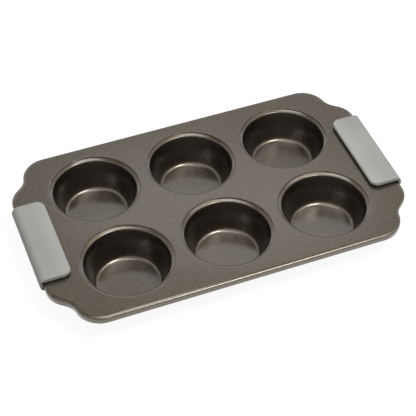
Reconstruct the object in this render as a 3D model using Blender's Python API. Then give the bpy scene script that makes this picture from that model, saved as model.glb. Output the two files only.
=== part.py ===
"""Six-cup muffin pan with slip-on silicone grips.

One steel sheet forms the deck, the six drawn cups and the rim, which is curled over a steel wire.
A silicone grip slides over each short end. Lengths are in metres, +Z is up, +X runs along the pan,
and the origin is on the surface that the cup floors stand on, under the middle of the pan.
"""
import math

import bmesh
import bpy

# Sheet and cups
SHEET = 0.0008                    # steel thickness
COLUMNS = 3                       # cups along X
ROWS = 2                          # cups along Y
CUP_RADIUS = 0.0350               # inside the wall, where it leaves the rounded lip
CUP_DEPTH = 0.0276                # deck to the inside of the floor
CUP_DRAFT = math.radians(17.5)    # the wall's lean from upright
LIP_RADIUS = 0.0016               # rounded lip between recess and wall
FLOOR_FILLET = 0.0035             # inside radius between wall and floor
LEDGE = 0.0003                    # flat of the recess, outside the lip
RECESS_DEPTH = 0.0007             # step down from the deck round each mouth
RECESS_SLOPE = 0.0008             # width of that step, in plan
WEB_X = 0.00975                   # deck left between two recesses, along X
WEB_Y = 0.00925                   # deck left between two recesses, along Y
END_LAND = 0.0312                 # last recess to the pan's end, where the grip sits
SIDE_LAND = 0.0130                # last recess to the pan's long side

# Outline at each corner of the pan, from the straight end round to the long side
LOBE_RADIUS = 0.0200
LOBE_TURN = math.radians(50)
SLOPE_LENGTH = 0.0050             # straight run between lobe and notch
NOTCH_RADIUS = 0.0160
NOTCH_EXIT = math.radians(11)     # how far the edge still leans inward as it leaves the notch
CORNER_RADIUS = 0.0215

# Curled rim and its wire
RIM_RADIUS = 0.0030               # outside radius of the curl
CURL_GAP = 0.0005                 # from the curled edge up to the deck's underside
WIRE_GAP = 0.0003                 # round the wire, inside the curl

# Grips
GRIP_LENGTH = 0.0836              # along Y
GRIP_REACH = 0.0268               # outer face to the upper flap's inner edge
GRIP_UNDER_REACH = 0.0240         # outer face to the lower flap's inner edge
GRIP_TOP = 0.0038                 # upper flap's thickness
GRIP_WALL = 0.0025                # outer wall's thickness at mid height
GRIP_UNDER = 0.0020               # lower flap's thickness
GRIP_GAP = 0.0003                 # to the rim, at the outer wall and under the bead
GRIP_LIFT = 0.0008                # from the deck up to the upper flap
GRIP_CROWN = 0.0060               # width of the rounding from the top face to the outer face
GRIP_KEEL = 0.0040                # width of the rounding from the outer face to the underside
GRIP_TIP = 0.0016                 # rounding of the flaps' inner edges, at most
TIP_SHARE = 0.45                  # largest share of a flap's thickness that this rounding takes
GRIP_CORNER = 0.0066              # inner corners of the flaps, in plan
GRIP_EDGE = 0.0008                # rounding of the end faces' edges
GRIP_SHIFT = 0.0008               # left grip towards the front, right grip towards the back

# Steps of the round stretches
CUP_SEGMENTS = 32
LIP_STEPS = 3
FILLET_STEPS = 3
CURL_STEPS = 9
OUTLINE_STEP = math.radians(9)
CROWN_STEPS = 5
CORNER_STEPS = 5
EDGE_STEPS = 3
WIRE_BEVEL_RESOLUTION = 1
SMOOTH_BELOW = math.radians(35)

# Worked out from the sizes above
LIP_TOP = CUP_RADIUS + LIP_RADIUS * math.cos(CUP_DRAFT)
RECESS_INNER = LIP_TOP + LEDGE
RECESS_OUTER = RECESS_INNER + RECESS_SLOPE
PITCH_X = 2 * RECESS_OUTER + WEB_X
PITCH_Y = 2 * RECESS_OUTER + WEB_Y
HALF_LENGTH = (COLUMNS - 1) / 2 * PITCH_X + RECESS_OUTER + END_LAND
HALF_WIDTH = (ROWS - 1) / 2 * PITCH_Y + RECESS_OUTER + SIDE_LAND
DECK_TOP = CUP_DEPTH + SHEET
GRIP_OUTER_X = HALF_LENGTH + GRIP_GAP + GRIP_WALL
QUARTER = math.pi / 2


def arc(centre, radii, start, end, steps):
    """Points on a circle's or an ellipse's arc from start to end, both included."""
    angles = [start + (end - start) * i / steps for i in range(steps + 1)]
    return [(centre[0] + radii[0] * math.cos(a), centre[1] + radii[1] * math.sin(a)) for a in angles]


def cup_profile():
    """Radius and height below the deck of the cup's inner face, from the deck in to the floor."""
    lip_z = -RECESS_DEPTH - LIP_RADIUS
    lip = arc((LIP_TOP, lip_z), (LIP_RADIUS, LIP_RADIUS), QUARTER, 2 * QUARTER - CUP_DRAFT, LIP_STEPS)
    wall_top_r, wall_top_z = lip[-1]
    fillet_z = FLOOR_FILLET - CUP_DEPTH
    wall_end_z = fillet_z - FLOOR_FILLET * math.sin(CUP_DRAFT)
    wall_end_r = wall_top_r - (wall_top_z - wall_end_z) * math.tan(CUP_DRAFT)
    fillet_r = wall_end_r - FLOOR_FILLET * math.cos(CUP_DRAFT)
    fillet = arc((fillet_r, fillet_z), (FLOOR_FILLET, FLOOR_FILLET), -CUP_DRAFT, -QUARTER, FILLET_STEPS)
    return [(RECESS_OUTER, 0.0), (RECESS_INNER, -RECESS_DEPTH)] + lip + fillet


def outline_quarter():
    """The bead's centre line in one corner, from the straight end to the long side.

    Each station is x, y and heading, the outward direction as an angle from +X. The convex arcs
    lose the bead's radius and the concave notch gains it, so that the radii named above are those
    of the bead's outermost line.
    """
    turns = [
        (LOBE_RADIUS - RIM_RADIUS, 0.0, LOBE_TURN, SLOPE_LENGTH),
        (-NOTCH_RADIUS - RIM_RADIUS, LOBE_TURN, NOTCH_EXIT, 0.0),
        (CORNER_RADIUS - RIM_RADIUS, NOTCH_EXIT, QUARTER, 0.0),
    ]
    x, y = 0.0, 0.0
    stations = [(x, y, 0.0)]
    for radius, start, end, straight in turns:
        centre_x = x - radius * math.cos(start)
        centre_y = y - radius * math.sin(start)
        steps = max(2, round(abs(end - start) / OUTLINE_STEP))
        for i in range(1, steps + 1):
            heading = start + (end - start) * i / steps
            x = centre_x + radius * math.cos(heading)
            y = centre_y + radius * math.sin(heading)
            stations.append((x, y, heading))
        if straight:
            x -= straight * math.sin(end)
            y += straight * math.cos(end)
            stations.append((x, y, end))
    shift_x = HALF_LENGTH - RIM_RADIUS
    shift_y = HALF_WIDTH - RIM_RADIUS - y
    return [(sx + shift_x, sy + shift_y, heading) for sx, sy, heading in stations]


def rim_path():
    """The bead's centre line round the whole pan, counter-clockwise from above."""
    quarter = outline_quarter()
    back = quarter[::-1]
    path = list(quarter)
    path += [(-x, y, 2 * QUARTER - heading) for x, y, heading in back]
    path += [(-x, -y, 2 * QUARTER + heading) for x, y, heading in quarter]
    path += [(x, -y, -heading) for x, y, heading in back]
    return path


def cup_centres():
    for row in range(ROWS):
        for column in range(COLUMNS):
            yield (column - (COLUMNS - 1) / 2) * PITCH_X, (row - (ROWS - 1) / 2) * PITCH_Y


def ring(mesh, points):
    return [mesh.verts.new(point) for point in points]


def bridge(mesh, upper, lower):
    """Quads between two closed rings of the same count."""
    for i in range(len(upper)):
        j = (i + 1) % len(upper)
        mesh.faces.new((upper[i], lower[i], lower[j], upper[j]))


def add_cup(mesh, x, y):
    """One cup's inner face, from the deck to its floor. Returns the ring at the deck."""
    rings = []
    for radius, height in cup_profile():
        circle = arc((x, y), (radius, radius), 0.0, 4 * QUARTER, CUP_SEGMENTS)[:-1]
        rings.append(ring(mesh, [(px, py, DECK_TOP + height) for px, py in circle]))
    for outer, inner in zip(rings, rings[1:]):
        bridge(mesh, inner, outer)
    mesh.faces.new(rings[-1])
    return rings[0]


def add_curl(mesh):
    """The curled rim's outer face, from the deck out, down and back up inside. Returns the deck's ring."""
    tuck = math.asin((RIM_RADIUS - SHEET - CURL_GAP) / RIM_RADIUS)
    middle = (0.0, DECK_TOP - RIM_RADIUS)
    section = arc(middle, (RIM_RADIUS, RIM_RADIUS), QUARTER, -2 * QUARTER - tuck, CURL_STEPS)
    path = rim_path()
    rings = []
    for out, height in section:
        rings.append(ring(mesh, [(x + out * math.cos(h), y + out * math.sin(h), height) for x, y, h in path]))
    for upper, lower in zip(rings, rings[1:]):
        bridge(mesh, upper, lower)
    return rings[0]


def material(name, colour, roughness, metallic):
    finish = bpy.data.materials.new(name)
    finish.use_nodes = True
    shader = finish.node_tree.nodes["Principled BSDF"]
    shader.inputs["Base Color"].default_value = (*colour, 1.0)
    shader.inputs["Roughness"].default_value = roughness
    shader.inputs["Metallic"].default_value = metallic
    finish.diffuse_color = (*colour, 1.0)
    return finish


def add_object(name, data, finish):
    item = bpy.data.objects.new(name, data)
    bpy.context.scene.collection.objects.link(item)
    data.materials.append(finish)
    return item


def mesh_object(name, mesh, finish):
    data = bpy.data.meshes.new(name)
    mesh.to_mesh(data)
    mesh.free()
    data.shade_smooth()
    data.set_sharp_from_angle(angle=SMOOTH_BELOW)
    return add_object(name, data, finish)


def build_pan_body():
    """The stamped sheet: its upper face as one skin, thickened downwards and into the curl."""
    mesh = bmesh.new()
    borders = [add_curl(mesh)] + [add_cup(mesh, x, y) for x, y in cup_centres()]
    edges = []
    for border in borders:
        edges += [mesh.edges.get(pair) for pair in zip(border, border[1:] + border[:1])]
    bmesh.ops.triangle_fill(mesh, use_beauty=True, use_dissolve=False, edges=edges, normal=(0, 0, 1))
    pan = mesh_object("pan_body", mesh, material("coated_steel", (0.14, 0.12, 0.10), 0.38, 0.7))
    skin = pan.modifiers.new("sheet", "SOLIDIFY")
    skin.thickness = SHEET
    skin.offset = -1.0
    skin.use_even_offset = True
    skin.use_quality_normals = True
    return pan


def build_rim_wire():
    """The round wire that the rim is curled over."""
    path = rim_path()
    data = bpy.data.curves.new("rim_wire", "CURVE")
    data.dimensions = "3D"
    data.bevel_depth = RIM_RADIUS - SHEET - WIRE_GAP
    data.bevel_resolution = WIRE_BEVEL_RESOLUTION
    spline = data.splines.new("POLY")
    spline.points.add(len(path) - 1)
    for point, (x, y, _) in zip(spline.points, path):
        point.co = (x, y, DECK_TOP - RIM_RADIUS, 1.0)
    spline.use_cyclic_u = True
    return add_object("rim_wire", data, material("bright_wire", (0.50, 0.49, 0.47), 0.35, 1.0))


def rounding(radius, distance):
    """How far a rounded corner draws an edge in, this far from the corner's end."""
    rest = max(radius - distance, 0.0)
    return radius - math.sqrt(radius * radius - rest * rest)


def grip_section(distance):
    """The grip's C-shaped section at a distance from its end face.

    Points are the distance in from the outer face and the height above the deck. The inner corners
    in plan shorten the flaps near the end, and the end's rounded edge draws every face in.
    """
    cut = rounding(GRIP_CORNER, distance)
    inset = rounding(GRIP_EDGE, distance)
    slot_top = GRIP_LIFT + inset
    top = GRIP_LIFT + GRIP_TOP - inset
    slot_bottom = -2 * RIM_RADIUS - GRIP_GAP - inset
    bottom = -2 * RIM_RADIUS - GRIP_GAP - GRIP_UNDER + inset
    middle = (top + bottom) / 2
    half_height = (top - bottom) / 2
    crown = GRIP_CROWN - inset
    keel = GRIP_KEEL - inset
    upper_end = GRIP_REACH - cut - inset
    lower_end = GRIP_UNDER_REACH - cut - inset
    upper_tip = min(GRIP_TIP, GRIP_TOP * TIP_SHARE) * (top - slot_top) / GRIP_TOP
    lower_tip = min(GRIP_TIP, GRIP_UNDER * TIP_SHARE) * (slot_bottom - bottom) / GRIP_UNDER
    wall = GRIP_WALL - inset

    section = arc((upper_end - upper_tip, top - upper_tip), (upper_tip, upper_tip), 0, QUARTER, EDGE_STEPS)
    section += arc((GRIP_CROWN, middle), (crown, half_height), QUARTER, 2 * QUARTER, CROWN_STEPS)
    section += arc((GRIP_KEEL, middle), (keel, half_height), 2 * QUARTER, 3 * QUARTER, CROWN_STEPS)[1:]
    section += arc((lower_end - lower_tip, bottom + lower_tip), (lower_tip, lower_tip), -QUARTER, 0, EDGE_STEPS)
    section += arc((lower_end - lower_tip, slot_bottom - lower_tip), (lower_tip, lower_tip), 0, QUARTER, EDGE_STEPS)
    section += [(wall, slot_bottom), (wall, slot_top)]
    section += arc((upper_end - upper_tip, slot_top + upper_tip), (upper_tip, upper_tip), -QUARTER, 0, EDGE_STEPS)
    return section


def grip_distances():
    """Where the sections stand, from the end face to the start of the straight run."""
    edge = [GRIP_EDGE * (1 - math.cos(QUARTER * i / EDGE_STEPS)) for i in range(EDGE_STEPS + 1)]
    first = math.acos(1 - GRIP_EDGE / GRIP_CORNER)
    turns = [first + (QUARTER - first) * i / CORNER_STEPS for i in range(1, CORNER_STEPS + 1)]
    return edge + [GRIP_CORNER * (1 - math.cos(turn)) for turn in turns]


def build_grip(name, side, finish):
    """A silicone sleeve of C-shaped section. Side is 1 for the right end and -1 for the left."""
    mesh = bmesh.new()
    half = GRIP_LENGTH / 2
    near = [(-half + distance, grip_section(distance)) for distance in grip_distances()]
    sections = near + [(-y, section) for y, section in near[::-1]]
    rings = [ring(mesh, [(-side * u, y, z) for u, z in section]) for y, section in sections]
    for first, second in zip(rings, rings[1:]):
        bridge(mesh, first, second)
    mesh.faces.new(rings[0])
    mesh.faces.new(rings[-1])
    bmesh.ops.remove_doubles(mesh, verts=mesh.verts, dist=1e-6)
    bmesh.ops.recalc_face_normals(mesh, faces=mesh.faces)
    grip = mesh_object(name, mesh, finish)
    grip.location = (side * GRIP_OUTER_X, side * GRIP_SHIFT, DECK_TOP)
    return grip


def main():
    for item in list(bpy.data.objects):
        bpy.data.objects.remove(item)
    build_pan_body()
    build_rim_wire()
    silicone = material("silicone", (0.36, 0.36, 0.34), 0.75, 0.0)
    build_grip("grip_left", -1, silicone)
    build_grip("grip_right", 1, silicone)


main()
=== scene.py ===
"""A six-cup muffin pan with slip-on silicone grips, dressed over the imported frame.

The pan's sheet and both grips are surfaces worked out with numpy. Lengths are in metres, +Z is up,
+X runs along the pan, and the origin is on the floor under the middle of the pan.
"""
from __future__ import annotations

import logging
import math
from dataclasses import dataclass
from enum import Enum

import bmesh
import bpy
import numpy as np
from mathutils import Matrix, Vector


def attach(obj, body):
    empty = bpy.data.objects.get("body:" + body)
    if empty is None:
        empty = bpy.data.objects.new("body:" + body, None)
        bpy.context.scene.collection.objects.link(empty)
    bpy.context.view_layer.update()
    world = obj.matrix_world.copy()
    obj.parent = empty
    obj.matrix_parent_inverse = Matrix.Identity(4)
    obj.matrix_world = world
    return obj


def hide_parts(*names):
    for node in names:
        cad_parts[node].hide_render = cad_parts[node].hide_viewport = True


log = logging.getLogger("muffin_pan")
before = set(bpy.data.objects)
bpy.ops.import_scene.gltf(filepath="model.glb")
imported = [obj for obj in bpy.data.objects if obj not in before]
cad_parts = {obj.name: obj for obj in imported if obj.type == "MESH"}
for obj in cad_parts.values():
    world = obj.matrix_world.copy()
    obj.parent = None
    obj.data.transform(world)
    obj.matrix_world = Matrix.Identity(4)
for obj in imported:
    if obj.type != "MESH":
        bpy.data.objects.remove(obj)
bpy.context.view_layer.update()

Colour = tuple[float, float, float]
WHITE = (1.0, 1.0, 1.0, 1.0)
QUARTER = math.pi / 2
FULL_TURN = 2 * math.pi
MERGE_DISTANCE = 4e-6
ROUND_OFF_LENGTH = 1e-7
ROUND_OFF_ANGLE = 1e-9
# Nearly all of a noise texture's values lie between these two.
NOISE_LOW, NOISE_HIGH = 0.3, 0.7


class End(Enum):
    """The pan's two short ends, with the sign of X on each."""

    LEFT = -1
    RIGHT = 1


def grid_faces(rows: int, columns: int, closed: bool) -> np.ndarray:
    """Quads of a grid of points stored row by row.

    Args:
        rows: Number of rows of points.
        columns: Number of points in a row.
        closed: Whether each row joins its last point to its first.

    Returns:
        Four point numbers per quad.
    """
    row = np.arange(rows - 1)[:, None] * columns
    column = np.arange(columns if closed else columns - 1)[None, :]
    after = (column + 1) % columns
    corners = [row + column, row + columns + column, row + columns + after, row + after]
    return np.stack(corners, axis=-1).reshape(-1, 4)


def filleted(corners: np.ndarray, radii: list[float], steps: tuple[int, ...]) -> np.ndarray:
    """A line of straight runs whose inner corners are rounded by tangent arcs.

    At a corner C between unit directions a, to the point before, and b, to the point after, with
    half opening h, the arc's centre is C + (a + b) / |a + b| r / sin h. It touches the runs at
    C + a r / tan h and C + b r / tan h, and turns between them in equal angles.

    Args:
        corners: Corner points, one per row, the first and last being the line's ends.
        radii: Arc radius at each inner corner.
        steps: Number of arc steps at each inner corner.

    Returns:
        The rounded line's points, one per row.
    """
    pieces = [corners[:1]]
    for index, (radius, count) in enumerate(zip(radii, steps), start=1):
        corner = corners[index]
        a = corners[index - 1] - corner
        b = corners[index + 1] - corner
        a, b = a / np.linalg.norm(a), b / np.linalg.norm(b)
        half = math.acos(float(a @ b)) / 2
        centre = corner + (a + b) / np.linalg.norm(a + b) * radius / math.sin(half)
        first = corner + a * radius / math.tan(half) - centre
        last = corner + b * radius / math.tan(half) - centre
        sweep = math.pi - 2 * half
        share = np.linspace(0, 1, count + 1)[:, None]
        turned = np.sin((1 - share) * sweep) * first + np.sin(share * sweep) * last
        pieces.append(centre + turned / math.sin(sweep))
    pieces.append(corners[-1:])
    return np.concatenate(pieces)


def moved_out(corners: np.ndarray, distance: float) -> np.ndarray:
    """A line of straight runs moved sideways, to the left of its course.

    Between runs with normals m and n, a corner moves by (m + n) / (1 + m . n) times the distance.

    Args:
        corners: Corner points, one per row.
        distance: How far each run moves.

    Returns:
        The moved corners.
    """
    course = np.diff(corners, axis=0)
    course /= np.linalg.norm(course, axis=1)[:, None]
    normal = np.column_stack([-course[:, 1], course[:, 0]])
    before, after = np.concatenate([normal[:1], normal]), np.concatenate([normal, normal[-1:]])
    return corners + distance * (before + after) / (1 + (before * after).sum(axis=1))[:, None]


def rounding(radius: float, distance: np.ndarray) -> np.ndarray:
    """How far a rounded corner draws an edge in: r - sqrt(r^2 - (r - d)^2), and 0 beyond d = r."""
    rest = np.maximum(radius - distance, 0.0)
    return radius - np.sqrt(radius * radius - rest * rest)


def placed(name: str, data: bpy.types.ID) -> bpy.types.Object:
    """A new object for a mesh, lamp or camera, linked to the scene."""
    thing = bpy.data.objects.new(name, data)
    bpy.context.scene.collection.objects.link(thing)
    return thing


def mesh_piece(
    name: str, points: np.ndarray, faces: list[np.ndarray], body: str,
) -> bpy.types.Object:
    """Puts points and faces into a mesh object that rides on a body.

    Args:
        name: The piece's name.
        points: Positions, one per row.
        faces: Arrays of faces, each of one corner count.
        body: The CAD body that the piece moves with.

    Returns:
        The linked object, with doubles merged, faces outward and smooth shading.
    """
    data = bpy.data.meshes.new(name)
    data.from_pydata(points.tolist(), [], [face for group in faces for face in group.tolist()])
    work = bmesh.new()
    work.from_mesh(data)
    bmesh.ops.remove_doubles(work, verts=work.verts, dist=MERGE_DISTANCE)
    bmesh.ops.recalc_face_normals(work, faces=work.faces)
    work.to_mesh(data)
    work.free()
    data.shade_smooth()
    piece = placed(name, data)
    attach(piece, body)
    return piece


@dataclass(frozen=True)
class Outline:
    """The rim's centre line from above, for the corner at +X +Y. The other corners mirror it.

    From the straight end it turns through a convex lobe, runs straight, turns back through a concave
    notch and goes round a convex corner into the straight long side. Every radius is that of the
    bead's outermost line.
    """

    half_length: float
    half_width: float
    bead: float
    lobe_radius: float = 0.0200
    lobe_turn: float = math.radians(50)
    slope_length: float = 0.0050
    notch_radius: float = 0.0160
    notch_exit: float = math.radians(11)
    corner_radius: float = 0.0215
    step: float = 0.0002
    straight_points: int = 200

    def quarter(self) -> np.ndarray:
        """Dense stations from the middle of the end to the middle of the long side.

        With heading h, the line obeys x' = -sin h and y' = cos h. The heading grows by s / r along
        an arc of radius r, and stays on a straight run.

        Returns:
            Rows of x, y and outward heading.
        """
        # Centre line radius, heading before and after, and the straight run that follows.
        turns = [
            (self.lobe_radius - self.bead, 0.0, self.lobe_turn, self.slope_length),
            (self.notch_radius + self.bead, self.lobe_turn, self.notch_exit, 0.0),
            (self.corner_radius - self.bead, self.notch_exit, QUARTER, 0.0),
        ]
        paces, headings = [], []
        for radius, start, end, straight in turns:
            for length, low, high in ((radius * abs(end - start), start, end), (straight, end, end)):
                count = round(length / self.step)
                paces.append(np.full(count, length / max(count, 1)))
                headings.append(low + (high - low) * (np.arange(count) + 0.5) / max(count, 1))
        pace, heading = np.concatenate(paces), np.concatenate(headings)
        x = self.half_length - self.bead - np.concatenate([[0.0], np.cumsum(np.sin(heading) * pace)])
        y = np.concatenate([[0.0], np.cumsum(np.cos(heading) * pace)])
        y += self.half_width - self.bead - y[-1]
        turn = np.concatenate([[0.0], (heading[1:] + heading[:-1]) / 2, [QUARTER]])
        bend = np.column_stack([x, y, turn])
        share = np.linspace(0, 1, self.straight_points)[:, None]
        end_run = np.array([x[0], 0.0, 0.0]) * (1 - share) + bend[0] * share
        side_run = bend[-1] * (1 - share) + np.array([0.0, y[-1], QUARTER]) * share
        return np.concatenate([end_run[:-1], bend, side_run[1:]])

    def met_from(self, x: float, y: float, angles: np.ndarray) -> np.ndarray:
        """Where rays from a point inside this quarter meet the line.

        A ray along d meets the run from p to p + e at the distance (p - c) x e / (d x e), and at the
        share (p - c) x d / (d x e) of the run.

        Args:
            x: The point's X, at least 0.
            y: The point's Y, at least 0.
            angles: The rays' angles, from -pi to pi.

        Returns:
            Rows of distance and outward heading, with infinite distance for rays that pass by.
        """
        line = self.quarter()
        bearing = np.arctan2(line[:, 1] - y, line[:, 0] - x)
        index = np.clip(np.searchsorted(bearing, angles), 1, len(line) - 1)
        px, py, turn = (line[index - 1] - [x, y, 0]).T
        ex, ey, bend = (line[index] - line[index - 1]).T
        dx, dy = np.cos(angles), np.sin(angles)
        cross = dx * ey - dy * ex
        before = angles < bearing[0] - ROUND_OFF_ANGLE
        after = angles > bearing[-1] + ROUND_OFF_ANGLE
        reach = np.where(before | after, np.inf, (px * ey - py * ex) / cross)
        return np.column_stack([reach, turn + (px * dy - py * dx) / cross * bend])


@dataclass(frozen=True)
class PanSheet:
    """The drawn sheet: deck, cups with recessed mouths, and the rim curled over its wire.

    A cup's radius is cup_radius at the depth wall_gauge. step_foot and lip are the radius and the
    depth at the foot of the mouth's step and at the wall's upper end. The rings of the deck's mesh
    stand at deck_rings of the way from a mouth to its cell's border.
    """

    sheet: float = 0.0008
    columns: int = 3
    rows: int = 2
    pitch: tuple[float, float] = (0.0850, 0.0845)
    half_length: float = 0.153825
    half_width: float = 0.092600
    cup_radius: float = 0.0349
    cup_depth: float = 0.0276
    cup_draft: float = math.radians(17.5)
    wall_gauge: float = 0.0018
    mouth_ring: float = 0.0014
    mouth_edge: float = 0.03760
    step_foot: tuple[float, float] = (0.03750, 0.00110)
    lip: tuple[float, float] = (0.03495, 0.00178)
    edge_arc: float = 0.00015
    foot_arc: float = 0.00010
    lip_arc: float = 0.0011
    floor_fillet: float = 0.0035
    least_arc: float = 0.00005
    cup_arc_steps: tuple[int, ...] = (2, 2, 7, 7)
    floor_ring: float = 0.6
    rim_radius: float = 0.0030
    rim_land: float = 0.0004
    rim_shoulder: float = 0.0005
    shoulder_arc: float = 0.0020
    rim_corner: float = 0.0014
    rim_keel: float = 0.0009
    curl_gap: float = 0.0005
    curl_arc_steps: tuple[int, ...] = (2, 6, 6, 4)
    deck_rings: tuple[float, ...] = (1.0, 0.70, 0.42, 0.18)
    turn_steps: int = 40
    corner_steps: int = 72

    @property
    def deck_top(self) -> float:
        """Height of the deck's upper face."""
        return self.cup_depth + self.sheet

    @property
    def outline(self) -> Outline:
        """The rim's centre line."""
        return Outline(self.half_length, self.half_width, self.rim_radius)

    def cup_profile(self, inset: float) -> np.ndarray:
        """Radius and height on one face of a cup, from the deck in to the middle of the floor.

        Round the mouth a steep step drops to a sloping shelf, which rolls over into the wall. The
        wall's radius is cup_radius at the depth wall_gauge and shrinks by tan(draft) per depth.

        Args:
            inset: How far the face lies below and outside the inner one.

        Returns:
            Rows of radius and height above the deck.
        """
        foot = self.cup_radius - (self.cup_depth - self.wall_gauge) * math.tan(self.cup_draft)
        corners = np.array([
            (self.mouth_edge + self.mouth_ring, 0.0),
            (self.mouth_edge, 0.0),
            (self.step_foot[0], -self.step_foot[1]),
            (self.lip[0], -self.lip[1]),
            (foot, -self.cup_depth),
            (0.0, -self.cup_depth),
        ])
        arcs = [
            max(self.edge_arc - inset, self.least_arc),
            self.foot_arc + inset,
            self.lip_arc - inset,
            self.floor_fillet + inset,
        ]
        return self.with_runs(filleted(moved_out(corners, inset), arcs, self.cup_arc_steps))

    def with_runs(self, line: np.ndarray) -> np.ndarray:
        """Adds points at thirds of the wall, and a ring on the floor, to a cup's rounded line.

        Args:
            line: The line, which ends in the wall, the floor's fillet and the floor's middle.

        Returns:
            The line with the added points.
        """
        fillet_start = len(line) - self.cup_arc_steps[-1] - 2
        thirds = np.array([[1 / 3], [2 / 3]])
        wall = line[fillet_start - 1] + (line[fillet_start] - line[fillet_start - 1]) * thirds
        floor = line[-2:-1] * [self.floor_ring, 1.0]
        return np.concatenate([line[:fillet_start], wall, line[fillet_start:-1], floor, line[-1:]])

    def curl_section(self, inset: float) -> np.ndarray:
        """Distance out from the rim's centre line and height, on one face of the curl.

        The outer face falls gently to the rim's edge, turns down by a small arc, drops straight,
        turns under the wire by two arcs, and rises on the inside to just under the deck.

        Args:
            inset: How far the face lies inside the outer one.

        Returns:
            Rows of distance out and height above the deck.
        """
        reach = self.rim_radius
        corners = np.array([
            (0.0, 0.0),
            (self.rim_land, 0.0),
            (reach, -self.rim_shoulder),
            (reach, -2 * reach),
            (-reach, -2 * reach),
            (-reach, -self.sheet - self.curl_gap),
        ])
        arcs = [self.shoulder_arc, self.rim_corner, self.rim_keel, self.rim_keel]
        inner_arcs = [arc - inset for arc in arcs]
        return filleted(moved_out(corners, -inset), inner_arcs, self.curl_arc_steps)

    def ring_angles(self, x: float, y: float, middle: bool) -> np.ndarray:
        """Angles of the rays from a cup's centre, one of them through each corner of its cell.

        Args:
            x: The centre's distance from the pan's middle along X.
            y: The centre's distance from the pan's middle along Y.
            middle: Whether the cup lies between two others.

        Returns:
            Angles from 0 up to a full turn, closest together towards a corner of the pan.
        """
        half_pitch = self.pitch[0] / 2
        side = self.outline.half_width - self.rim_radius
        cell_corners = [
            (-half_pitch, side - y), (-half_pitch, -y), (half_pitch, -y), (half_pitch, side - y),
        ]
        if not middle:
            cell_corners[2:] = [(self.half_length - self.rim_radius - x, -y)]
        first = self.turn_steps if middle else self.corner_steps
        angles = np.concatenate([
            np.linspace(0, QUARTER, first, endpoint=False),
            np.linspace(QUARTER, FULL_TURN, 3 * self.turn_steps, endpoint=False),
        ])
        for across, along in cell_corners:
            target = math.atan2(along, across) % FULL_TURN
            angles[np.argmin(np.abs(angles - target))] = target
        return angles

    def border(
        self, x: float, y: float, middle: bool, angles: np.ndarray,
    ) -> tuple[np.ndarray, np.ndarray, np.ndarray]:
        """Where rays from a cup's centre leave its cell: the nearest of its straight sides and the rim.

        Args:
            x: The centre's distance from the pan's middle along X.
            y: The centre's distance from the pan's middle along Y.
            middle: Whether the cup lies between two others.
            angles: The rays' angles.

        Returns:
            The border's points, the numbers of the rays that end on the rim, in order along it, and
            the rim's outward heading at each of those.
        """
        cos, sin = np.cos(angles), np.sin(angles)
        side = self.outline.half_width - self.rim_radius
        with np.errstate(divide="ignore"):
            to_row = np.where(sin < 0, -y / sin, np.inf)
            to_column = np.where((cos < 0) | middle, self.pitch[0] / 2 / np.abs(cos), np.inf)
            to_side = np.where(sin > 0, (side - y) / sin, np.inf)
        signed = np.where(angles > math.pi, angles - FULL_TURN, angles)
        if middle:
            met = np.column_stack([to_side, np.full_like(to_side, QUARTER)])
        else:
            met = self.outline.met_from(x, y, signed)
        reach = np.minimum(np.minimum(to_row, to_column), met[:, 0])
        on_rim = np.flatnonzero(met[:, 0] <= reach + ROUND_OFF_LENGTH)
        on_rim = on_rim[np.argsort(signed[on_rim])]
        return np.column_stack([x + reach * cos, y + reach * sin]), on_rim, met[on_rim, 1]

    def cell(self, column: int, row: int) -> list[tuple[np.ndarray, bool]]:
        """One cup, the deck round it as far as the next cell or the rim, and its stretch of rim.

        On the cup, a point is (x, y) + r(j) (cos t, sin t) at height z(j). On the deck it is
        (1 - s) ring(t) + s border(t), where border(t) is where the ray at angle t leaves the cell.
        The curl carries its section along the stretch of border that lies on the rim's centre line.

        Args:
            column: The cup's column, from the left.
            row: The cup's row, from the front.

        Returns:
            Grids of points, each with a flag for rows that close on themselves.
        """
        centre_x = (column - (self.columns - 1) / 2) * self.pitch[0]
        centre_y = (row - (self.rows - 1) / 2) * self.pitch[1]
        x, y = abs(centre_x), abs(centre_y)
        middle = x < self.cup_radius
        angles = self.ring_angles(x, y, middle)
        border, on_rim, heading = self.border(x, y, middle, angles)
        share = np.array(self.deck_rings)[:, None, None]
        shells, curls = [], []
        for inset in (0.0, self.sheet):
            profile = self.cup_profile(inset)
            cup = np.stack([
                x + profile[:, :1] * np.cos(angles),
                y + profile[:, :1] * np.sin(angles),
                np.repeat(profile[:, 1:], angles.size, axis=1),
            ], axis=-1)
            flat_border = np.column_stack([border, np.full(angles.size, -inset)])
            shells.append(np.concatenate([share * flat_border + (1 - share) * cup[0], cup]))
            out, up = self.curl_section(inset).T
            curls.append(np.stack([
                border[on_rim, 0] + out[:, None] * np.cos(heading),
                border[on_rim, 1] + out[:, None] * np.sin(heading),
                np.repeat(up[:, None], on_rim.size, axis=1),
            ], axis=-1))
        edge = np.stack([curls[0][-1], curls[1][-1]])

        mirror = np.array([-1.0 if centre_x < 0 else 1.0, -1.0 if centre_y < 0 else 1.0, 1.0])
        lift = np.array([0.0, 0.0, self.deck_top])
        grids = [(shell, True) for shell in shells] + [(strip, False) for strip in (*curls, edge)]
        return [(grid * mirror + lift, closed) for grid, closed in grids]

    def build(self) -> bpy.types.Object:
        """Joins the cells into one closed sheet.

        Returns:
            The piece, which stands for the CAD sheet.
        """
        points, faces, count = [], [], 0
        for column in range(self.columns):
            for row in range(self.rows):
                for grid, closed in self.cell(column, row):
                    faces.append(grid_faces(grid.shape[0], grid.shape[1], closed) + count)
                    points.append(grid.reshape(-1, 3))
                    count += points[-1].shape[0]
        piece = mesh_piece("pan_sheet", np.concatenate(points), faces, "pan")
        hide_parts("pan_body")
        return piece


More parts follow.
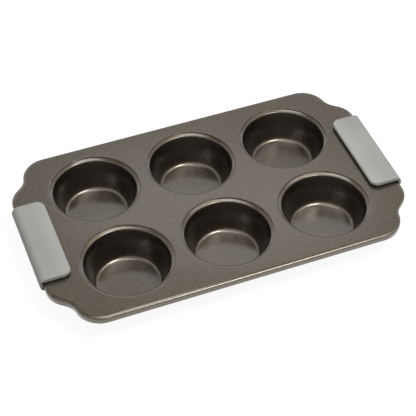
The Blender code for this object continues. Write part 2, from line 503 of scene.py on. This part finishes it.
@dataclass(frozen=True)
class GripSleeve:
    """A silicone sleeve of C-shaped section that slides over one short end.

    Its back, at outer_x, is rounded by crown above and keel below. The upper flap reaches in by
    reach and the lower one by under_reach, and their free edges are rounded by tip.
    """

    end: End
    outer_x: float
    deck_top: float
    bead: float
    length: float = 0.0836
    reach: float = 0.0268
    under_reach: float = 0.0240
    top: float = 0.0038
    wall: float = 0.0025
    under: float = 0.0020
    gap: float = 0.0003
    lift: float = 0.0008
    crown: float = 0.0060
    keel: float = 0.0040
    tip: float = 0.0016
    tip_share: float = 0.45
    corner: float = 0.0066
    edge: float = 0.0008
    shift: float = 0.0008
    edge_stations: int = 7
    corner_stations: int = 13
    half_stations: int = 5

    def stations(self) -> np.ndarray:
        """Distances from the end face, close together in its rounded edge and the flaps' corners."""
        edge_turn = np.linspace(0, QUARTER, self.edge_stations)
        first = math.acos(1 - self.edge / self.corner)
        corner_turn = np.linspace(first, QUARTER, self.corner_stations)[1:]
        return np.concatenate([
            self.edge * (1 - np.cos(edge_turn)),
            self.corner * (1 - np.cos(corner_turn)),
            np.linspace(self.corner, self.length / 2, self.half_stations)[1:],
        ])

    def sections(self, distance: np.ndarray) -> np.ndarray:
        """The C-shaped section at distances from the end face.

        Each arc is (u, v) + (a cos t, b sin t), with its centre and radii drawn in by the rounded
        edge and the flaps' corners at that distance.

        Args:
            distance: Distances from the end face.

        Returns:
            For each distance, rows of distance in from the outer face and height above the deck.
        """
        d = distance[:, None]
        cut, inset = rounding(self.corner, d), rounding(self.edge, d)
        slot_top, top = self.lift + inset, self.lift + self.top - inset
        slot_bottom = -2 * self.bead - self.gap - inset
        bottom = -2 * self.bead - self.gap - self.under + inset
        middle, half_height = (top + bottom) / 2, (top - bottom) / 2
        upper = min(self.tip, self.top * self.tip_share) * (top - slot_top) / self.top
        lower = min(self.tip, self.under * self.tip_share) * (slot_bottom - bottom) / self.under
        upper_u = self.reach - cut - inset - upper
        lower_u = self.under_reach - cut - inset - lower
        still = np.zeros_like(d)
        inner = self.wall - inset
        # Centre u and v, radii a and b, first and last quarter of the turn, and number of points.
        arcs = [
            (upper_u, top - upper, upper, upper, 0, 1, 7),
            (self.crown + still, middle, self.crown - inset, half_height, 1, 2, 15),
            (self.keel + still, middle, self.keel - inset, half_height, 2, 3, 13),
            (lower_u, bottom + lower, lower, lower, -1, 0, 5),
            (lower_u, slot_bottom - lower, lower, lower, 0, 1, 5),
            (inner, slot_bottom, still, still, 0, 0, 1),
            (inner, slot_top, still, still, 0, 0, 1),
            (upper_u, slot_top + upper, upper, upper, -1, 0, 7),
        ]
        lines = []
        for u, v, a, b, start, last, count in arcs:
            turn = np.linspace(start, last, count) * QUARTER
            lines.append(np.stack([u + a * np.cos(turn), v + b * np.sin(turn)], axis=-1))
        return np.concatenate(lines, axis=1)

    def build(self) -> bpy.types.Object:
        """Carries the section along Y from one end face to the other.

        Returns:
            The piece, which stands for the CAD grip.
        """
        near = self.stations()
        half = self.sections(near)
        y = np.concatenate([near - self.length / 2, self.length / 2 - near[-2::-1]])
        section = np.concatenate([half, half[-2::-1]])
        sign = self.end.value
        grid = np.stack([
            sign * (self.outer_x - section[..., 0]),
            np.repeat(y[:, None] + sign * self.shift, section.shape[1], axis=1),
            self.deck_top + section[..., 1],
        ], axis=-1)
        rows, columns = grid.shape[:2]
        end_face = np.arange(columns)[None, :]
        faces = [grid_faces(rows, columns, True), end_face, end_face + (rows - 1) * columns]
        word = self.end.name.lower()
        points = grid.reshape(-1, 3)
        piece = mesh_piece(f"{word}_grip_sleeve", points, faces, f"{word}_grip")
        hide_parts(f"grip_{word}")
        return piece


class Wiring:
    """Adds nodes to one tree and joins them."""

    def __init__(self, tree: bpy.types.NodeTree) -> None:
        """Keeps the tree that the nodes go into."""
        self.tree = tree

    def node(self, kind: str, inputs: dict | None = None, **settings: object) -> bpy.types.Node:
        """Adds a node.

        Args:
            kind: The node's Blender type.
            inputs: Values or sockets by input name or number.
            settings: The node's own options.

        Returns:
            The new node.
        """
        added = self.tree.nodes.new(kind)
        for name, value in settings.items():
            setattr(added, name, value)
        for key, value in (inputs or {}).items():
            self.feed(added.inputs[key], value)
        return added

    def feed(self, socket: bpy.types.NodeSocket, value: object) -> None:
        """Joins a socket to another one, or sets its value."""
        if isinstance(value, bpy.types.NodeSocket):
            self.tree.links.new(value, socket)
        else:
            socket.default_value = value

    def maths(self, operation: str, *values: object) -> bpy.types.NodeSocket:
        """The result of a Math node on values or sockets."""
        return self.node("ShaderNodeMath", dict(enumerate(values)), operation=operation).outputs[0]

    def mapped(
        self, value: bpy.types.NodeSocket, start: float, end: float, first: float, last: float,
    ) -> bpy.types.NodeSocket:
        """Maps a value from start to end onto first to last, and holds it beyond them."""
        inputs = {0: value, 1: start, 2: end, 3: first, 4: last}
        return self.node("ShaderNodeMapRange", inputs).outputs[0]

    def spread(self, noise: bpy.types.NodeSocket, low: float, high: float) -> bpy.types.NodeSocket:
        """Spreads the middle of a noise's values over low to high."""
        return self.mapped(noise, NOISE_LOW, NOISE_HIGH, low, high)

    def mixed(
        self, share: bpy.types.NodeSocket, first: Colour, second: Colour,
    ) -> bpy.types.NodeSocket:
        """A colour between two colours."""
        inputs = {0: share, 6: (*first, 1.0), 7: (*second, 1.0)}
        return self.node("ShaderNodeMix", inputs, data_type="RGBA").outputs[2]


def new_group(
    name: str, inputs: dict[str, str], outputs: dict[str, str],
) -> tuple[bpy.types.NodeTree, Wiring]:
    """An empty shader node group with named sockets.

    Args:
        name: The group's name.
        inputs: Socket type by input name.
        outputs: Socket type by output name.

    Returns:
        The group and the wiring for its inside.
    """
    group = bpy.data.node_groups.new(name, "ShaderNodeTree")
    for label, kind in inputs.items():
        group.interface.new_socket(label, in_out="INPUT", socket_type=kind)
    for label, kind in outputs.items():
        group.interface.new_socket(label, in_out="OUTPUT", socket_type=kind)
    return group, Wiring(group)


def grain_group(
    finer_by: float = 3.1, coarse_share: float = 0.6, pit_share: float = 0.5, detail: float = 2.0,
) -> bpy.types.NodeTree:
    """Fine grain: two sizes of noise, and pits of the finer size.

    Args:
        finer_by: How many times finer the second noise and the pits are.
        coarse_share: The first noise's share of the speckle.
        pit_share: How much of the pits is added to the height.
        detail: Detail of both noises.

    Returns:
        A group with inputs Vector and Scale, and outputs Speckle, from 0 to 1, and Height.
    """
    group, wiring = new_group(
        "fine_grain",
        {"Vector": "NodeSocketVector", "Scale": "NodeSocketFloat"},
        {"Speckle": "NodeSocketFloat", "Height": "NodeSocketFloat"},
    )
    given = wiring.node("NodeGroupInput").outputs
    place, scale = given["Vector"], given["Scale"]
    finer = wiring.maths("MULTIPLY", scale, finer_by)
    coarse = wiring.node("ShaderNodeTexNoise", {"Vector": place, "Scale": scale, "Detail": detail})
    fine = wiring.node("ShaderNodeTexNoise", {"Vector": place, "Scale": finer, "Detail": detail})
    pits = wiring.node("ShaderNodeTexVoronoi", {"Vector": place, "Scale": finer})
    speckle = wiring.maths(
        "ADD",
        wiring.maths("MULTIPLY", coarse.outputs[0], coarse_share),
        wiring.maths("MULTIPLY", fine.outputs[0], 1 - coarse_share),
    )
    pitting = wiring.maths("MULTIPLY", pits.outputs["Distance"], pit_share)
    height = wiring.maths("ADD", speckle, pitting)
    wiring.node("NodeGroupOutput", {"Speckle": speckle, "Height": height})
    return group


def patch_group(detail: float = 3.0, distortion: float = 0.6) -> bpy.types.NodeTree:
    """Broad soft patches: one slow noise, distorted.

    Args:
        detail: The noise's detail.
        distortion: How far the noise is bent.

    Returns:
        A group with inputs Vector and Scale, and output Patch, from 0 to 1.
    """
    group, wiring = new_group(
        "soft_patches",
        {"Vector": "NodeSocketVector", "Scale": "NodeSocketFloat"},
        {"Patch": "NodeSocketFloat"},
    )
    given = wiring.node("NodeGroupInput").outputs
    inputs = {"Vector": given["Vector"], "Scale": given["Scale"]}
    inputs |= {"Detail": detail, "Distortion": distortion}
    patch = wiring.node("ShaderNodeTexNoise", inputs)
    wiring.node("NodeGroupOutput", {"Patch": patch.outputs[0]})
    return group


@dataclass(frozen=True)
class Groups:
    """The node groups that the finishes share."""

    grain: bpy.types.NodeTree
    patches: bpy.types.NodeTree


@dataclass(frozen=True)
class Finish:
    """A surface with patches, grain and a fine bump, all on Object coordinates.

    The colour lies between dark and light, by grain_share from the grain and the rest from the
    patches. Painted light: it is lighter by up to painted_light where |X| goes from
    painted_light_from to painted_light_to. Painted shade: it is less bright by painted_wall_shade
    between the wall_shade_heights where |Y| is within wall_shade_reach. The roughness varies from
    smooth to rough with the patches.
    """

    name: str
    dark: Colour
    light: Colour
    metallic: float
    smooth: float
    rough: float
    patch_scale: float
    grain_scale: float
    grain_share: float
    bump: float
    bump_depth: float
    coat: float = 0.0
    coat_rough: float = 0.1
    coat_ior: float = 1.5
    # Painted light: the colour is made lighter towards set distances along X, used on the grips.
    painted_light: float = 0.0
    painted_light_from: float = 0.0
    painted_light_to: float = 1.0
    # Painted shade: the colour is made less bright on the cups' walls.
    painted_wall_shade: float = 0.0
    wall_shade_heights: tuple[float, float, float, float] = (0.0, 0.0, 0.0, 0.0)
    wall_shade_reach: tuple[float, float] = (0.0, 0.0)

    def light_share(
        self,
        wiring: Wiring,
        place: bpy.types.NodeSocket,
        speckle: bpy.types.NodeSocket,
        patch: bpy.types.NodeSocket,
    ) -> bpy.types.NodeSocket:
        """How much of the light colour shows.

        Args:
            wiring: The material's wiring.
            place: Object coordinates.
            speckle: The grain's speckle.
            patch: The patches.

        Returns:
            The share, where 0 is all dark and 1 is all light.
        """
        from_grain = wiring.maths("MULTIPLY", wiring.spread(speckle, 0, 1), self.grain_share)
        from_patch = wiring.maths("MULTIPLY", wiring.spread(patch, 0, 1), 1 - self.grain_share)
        share = wiring.maths("ADD", from_grain, from_patch)
        where = wiring.node("ShaderNodeSeparateXYZ", {0: place}).outputs
        # Painted light: the colour is made lighter as |X| goes towards the grips' inner edges.
        if self.painted_light:
            along = wiring.maths("ABSOLUTE", where["X"])
            edge = wiring.mapped(along, self.painted_light_from, self.painted_light_to, 0.0, self.painted_light)
            share = wiring.maths("ADD", share, edge)
        # Painted shade: less bright on the cups' walls, between the given heights and within the given
        # reach across Y, where the cups are in shade.
        if self.painted_wall_shade:
            foot, full, last, top = self.wall_shade_heights
            above = wiring.mapped(where["Z"], foot, full, 0.0, self.painted_wall_shade)
            below = wiring.mapped(where["Z"], last, top, 1.0, 0.0)
            across = wiring.maths("ABSOLUTE", where["Y"])
            inside = wiring.mapped(across, *self.wall_shade_reach, 1.0, 0.0)
            wall_shade_share = wiring.maths("MULTIPLY", above, below)
            share = wiring.maths("SUBTRACT", share, wiring.maths("MULTIPLY", wall_shade_share, inside))
        return share

    def material(self, groups: Groups) -> bpy.types.Material:
        """Builds the finish.

        Args:
            groups: The shared node groups.

        Returns:
            A material whose colour and roughness vary with patches and grain.
        """
        finish = bpy.data.materials.new(self.name)
        finish.use_nodes = True
        finish.diffuse_color = (*self.light, 1.0)
        wiring = Wiring(finish.node_tree)
        place = wiring.node("ShaderNodeTexCoord").outputs["Object"]
        grain = wiring.node("ShaderNodeGroup", node_tree=groups.grain)
        patches = wiring.node("ShaderNodeGroup", node_tree=groups.patches)
        for group, scale in ((grain, self.grain_scale), (patches, self.patch_scale)):
            wiring.feed(group.inputs["Scale"], scale)
            wiring.feed(group.inputs["Vector"], place)
        speckle, patch = grain.outputs["Speckle"], patches.outputs["Patch"]
        share = self.light_share(wiring, place, speckle, patch)
        bump = wiring.node(
            "ShaderNodeBump",
            {"Strength": self.bump, "Distance": self.bump_depth, "Height": grain.outputs["Height"]},
        )
        sockets = finish.node_tree.nodes["Principled BSDF"].inputs
        for socket, value in {
            "Metallic": self.metallic,
            "Coat Weight": self.coat,
            "Coat Roughness": self.coat_rough,
            "Coat IOR": self.coat_ior,
            "Base Color": wiring.mixed(share, self.dark, self.light),
            "Roughness": wiring.spread(patch, self.smooth, self.rough),
            "Normal": bump.outputs[0],
        }.items():
            wiring.feed(sockets[socket], value)
        return finish


COATED_STEEL = Finish(
    name="coated_steel_with_painted_shade",
    dark=(0.040, 0.030, 0.017),
    light=(0.127, 0.095, 0.049),
    metallic=1.0,
    smooth=0.34,
    rough=0.38,
    patch_scale=22.0,
    grain_scale=520.0,
    grain_share=0.9,
    bump=0.5,
    bump_depth=0.00002,
    coat=1.0,
    coat_rough=0.17,
    coat_ior=1.86,
    # Painted shade: the cups' walls get about half the deck's brightness in their colour, standing in
    # for their shade.
    painted_wall_shade=0.65,
    wall_shade_heights=(0.003, 0.007, 0.0240, 0.0260),
    wall_shade_reach=(0.081, 0.083),
)
DRAWN_WIRE = Finish(
    name="drawn_wire_finish",
    dark=(0.42, 0.41, 0.39),
    light=(0.56, 0.55, 0.53),
    metallic=1.0,
    smooth=0.30,
    rough=0.42,
    patch_scale=60.0,
    grain_scale=2500.0,
    grain_share=0.5,
    bump=0.4,
    bump_depth=0.00001,
)
SILICONE = Finish(
    name="silicone_with_painted_light",
    dark=(0.185, 0.185, 0.175),
    light=(0.34, 0.34, 0.32),
    metallic=0.0,
    smooth=0.56,
    rough=0.64,
    patch_scale=30.0,
    grain_scale=1400.0,
    grain_share=0.8,
    bump=0.5,
    bump_depth=0.00005,
    # Painted light: the flaps' colour is lighter towards their inner edges, where more light falls on
    # them.
    painted_light=0.32,
    painted_light_from=0.1436,
    painted_light_to=0.1306,
)


@dataclass(frozen=True)
class Lamp:
    """An oval area lamp that points at the pan.

    Its azimuth is in degrees clockwise from the back, and its elevation in degrees above the floor.
    glow is how bright its face is, where the white surroundings are 1. Without a height it is round.
    """

    name: str
    azimuth: float
    elevation: float
    width: float
    glow: float
    height: float = 0.0

    def build(self, distance: float) -> None:
        """Puts up the lamp. Its power is glow pi^2 width height / 4.

        Args:
            distance: How far it stands from the middle of the pan.
        """
        around, above = math.radians(self.azimuth), math.radians(self.elevation)
        towards = Vector((
            math.sin(around) * math.cos(above),
            math.cos(around) * math.cos(above),
            math.sin(above),
        ))
        light = bpy.data.lights.new(self.name, "AREA")
        light.shape = "ELLIPSE"
        light.size = self.width
        light.size_y = self.height or self.width
        light.energy = self.glow * math.pi**2 * light.size * light.size_y / 4
        lamp = placed(self.name, light)
        lamp.location = towards * distance
        lamp.rotation_euler = towards.to_track_quat("Z", "Y").to_euler()
        lamp.visible_camera = False


LAMPS = (
    Lamp("key_lamp", azimuth=143, elevation=64, width=0.40, glow=15.0),
    Lamp("overhead_lamp", azimuth=150, elevation=76, width=0.70, glow=1.5),
    Lamp("right_lamp", azimuth=95, elevation=60, width=0.40, glow=2.2),
    Lamp("left_lamp", azimuth=-95, elevation=66, width=0.55, glow=0.9),
    Lamp("back_lamp", azimuth=10, elevation=80, width=0.40, glow=2.8),
    Lamp("deck_glow", azimuth=22, elevation=48, width=0.55, glow=0.7, height=0.2),
)


@dataclass(frozen=True)
class Studio:
    """The floor, the lamps, the white surroundings and the camera at the photograph's angle.

    sky gives the surroundings' level as a light, as elevation in degrees and share of sky_peak.
    """

    deck_top: float
    azimuth: float = math.radians(-20.8735)
    elevation: float = math.radians(46.3389)
    roll: float = math.radians(-0.21)
    distance: float = 1.05916
    target: tuple[float, float] = (-0.00528219, -0.01314321)
    focal_pixels: float = 1296.0083
    frame_pixels: int = 416
    sensor_width: float = 36.0
    clip_end: float = 20.0
    floor_side: float = 3.0
    floor_drop: float = 0.0002
    floor_shade: float = 0.15
    floor_rough: float = 0.9
    floor_glow: float = 0.9
    sky_peak: float = 1.3
    sky: tuple[tuple[float, float], ...] = (
        (0, 0.36), (26, 0.36), (29, 1.0), (36, 1.0), (39, 0.42), (58, 0.40), (62, 0.10), (90, 0.08),
    )
    lamp_distance: float = 1.1

    def camera(self) -> None:
        """Sets up the camera.

        With back = (sin a cos e, -cos a cos e, sin e), the camera stands at target + back distance,
        and its right and up vectors are turned by the roll. Half a pixel of shift puts pixel
        centres on whole numbers.
        """
        back = Vector((
            math.sin(self.azimuth) * math.cos(self.elevation),
            -math.cos(self.azimuth) * math.cos(self.elevation),
            math.sin(self.elevation),
        ))
        right = (-back).cross(Vector((0, 0, 1))).normalized()
        up = right.cross(-back)
        cos, sin = math.cos(self.roll), math.sin(self.roll)
        right, up = cos * right + sin * up, -sin * right + cos * up
        lens = bpy.data.cameras.new("camera")
        lens.sensor_width = self.sensor_width
        lens.lens = self.focal_pixels / self.frame_pixels * lens.sensor_width
        lens.shift_x = -0.5 / self.frame_pixels
        lens.shift_y = 0.5 / self.frame_pixels
        lens.clip_end = self.clip_end
        camera = placed("camera", lens)
        camera.matrix_world = Matrix((right, up, back)).transposed().to_4x4()
        camera.location = Vector((*self.target, self.deck_top)) + back * self.distance
        bpy.context.scene.camera = camera

    def world(self) -> None:
        """Surroundings that are white to the camera and follow the sky's profile as a light."""
        world = bpy.data.worlds.new("white_surroundings")
        bpy.context.scene.world = world
        world.use_nodes = True
        wiring = Wiring(world.node_tree)
        direction = wiring.node("ShaderNodeTexCoord").outputs["Generated"]
        height = wiring.node("ShaderNodeSeparateXYZ", {0: direction}).outputs["Z"]
        profile = wiring.node("ShaderNodeValToRGB", {0: height})
        stops = profile.color_ramp.elements
        while len(stops) < len(self.sky):
            stops.new(1.0)
        for stop, (elevation, share) in zip(stops, self.sky):
            stop.position = math.sin(math.radians(elevation))
            stop.color = (share, share, share, 1.0)
        level = wiring.maths("MULTIPLY", profile.outputs[0], self.sky_peak)
        seen = wiring.node("ShaderNodeLightPath").outputs["Is Camera Ray"]
        strength = wiring.node("ShaderNodeMix", {0: seen, 2: level, 3: 1.0})
        background = world.node_tree.nodes["Background"].inputs
        wiring.feed(background["Color"], WHITE)
        wiring.feed(background["Strength"], strength.outputs[0])

    def floor_paint(self) -> bpy.types.Material:
        """A pale finish with a glow that lights nothing else.

        Returns:
            A material whose glow only camera, glossy and transmission rays see.
        """
        paint = bpy.data.materials.new("pale_floor")
        paint.use_nodes = True
        wiring = Wiring(paint.node_tree)
        path = wiring.node("ShaderNodeLightPath").outputs
        seen = wiring.maths("MAXIMUM", path["Is Camera Ray"], path["Is Glossy Ray"])
        seen = wiring.maths("MAXIMUM", seen, path["Is Transmission Ray"])
        sockets = paint.node_tree.nodes["Principled BSDF"].inputs
        for socket, value in {
            "Base Color": (self.floor_shade,) * 3 + (1.0,),
            "Roughness": self.floor_rough,
            "Specular IOR Level": 0.0,
            "Emission Color": WHITE,
            "Emission Strength": wiring.maths("MULTIPLY", seen, self.floor_glow),
        }.items():
            wiring.feed(sockets[socket], value)
        return paint

    def floor(self) -> None:
        """A pale floor that keeps the pan's shadow."""
        side, drop = self.floor_side, -self.floor_drop
        corners = [(-side, -side, drop), (side, -side, drop), (side, side, drop), (-side, side, drop)]
        data = bpy.data.meshes.new("floor")
        data.from_pydata(corners, [], [(0, 1, 2, 3)])
        data.materials.append(self.floor_paint())
        plane = placed("floor", data)

    def build(self) -> None:
        """Puts up the whole studio."""
        bpy.context.scene.view_settings.view_transform = "Standard"
        self.camera()
        self.world()
        self.floor()
        for lamp in LAMPS:
            lamp.build(self.lamp_distance)


def dress(piece: bpy.types.Object, finish: bpy.types.Material) -> None:
    """Gives a piece or a CAD node one material, and logs it."""
    piece.data.materials.clear()
    piece.data.materials.append(finish)
    log.info("%s: %d vertices, %s", piece.name, len(piece.data.vertices), finish.name)


def main() -> None:
    """Builds the pieces in order, then the studio."""
    logging.basicConfig(level=logging.INFO, format="%(name)s: %(message)s")
    groups = Groups(grain_group(), patch_group())
    coated_steel = COATED_STEEL.material(groups)
    silicone = SILICONE.material(groups)
    pan = PanSheet()
    dress(pan.build(), coated_steel)
    dress(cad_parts["rim_wire"], DRAWN_WIRE.material(groups))
    for end in End:
        outer_x = pan.outline.half_length + GripSleeve.gap + GripSleeve.wall
        dress(GripSleeve(end, outer_x, pan.deck_top, pan.rim_radius).build(), silicone)
    Studio(pan.deck_top).build()


if __name__ == "__main__":
    main()
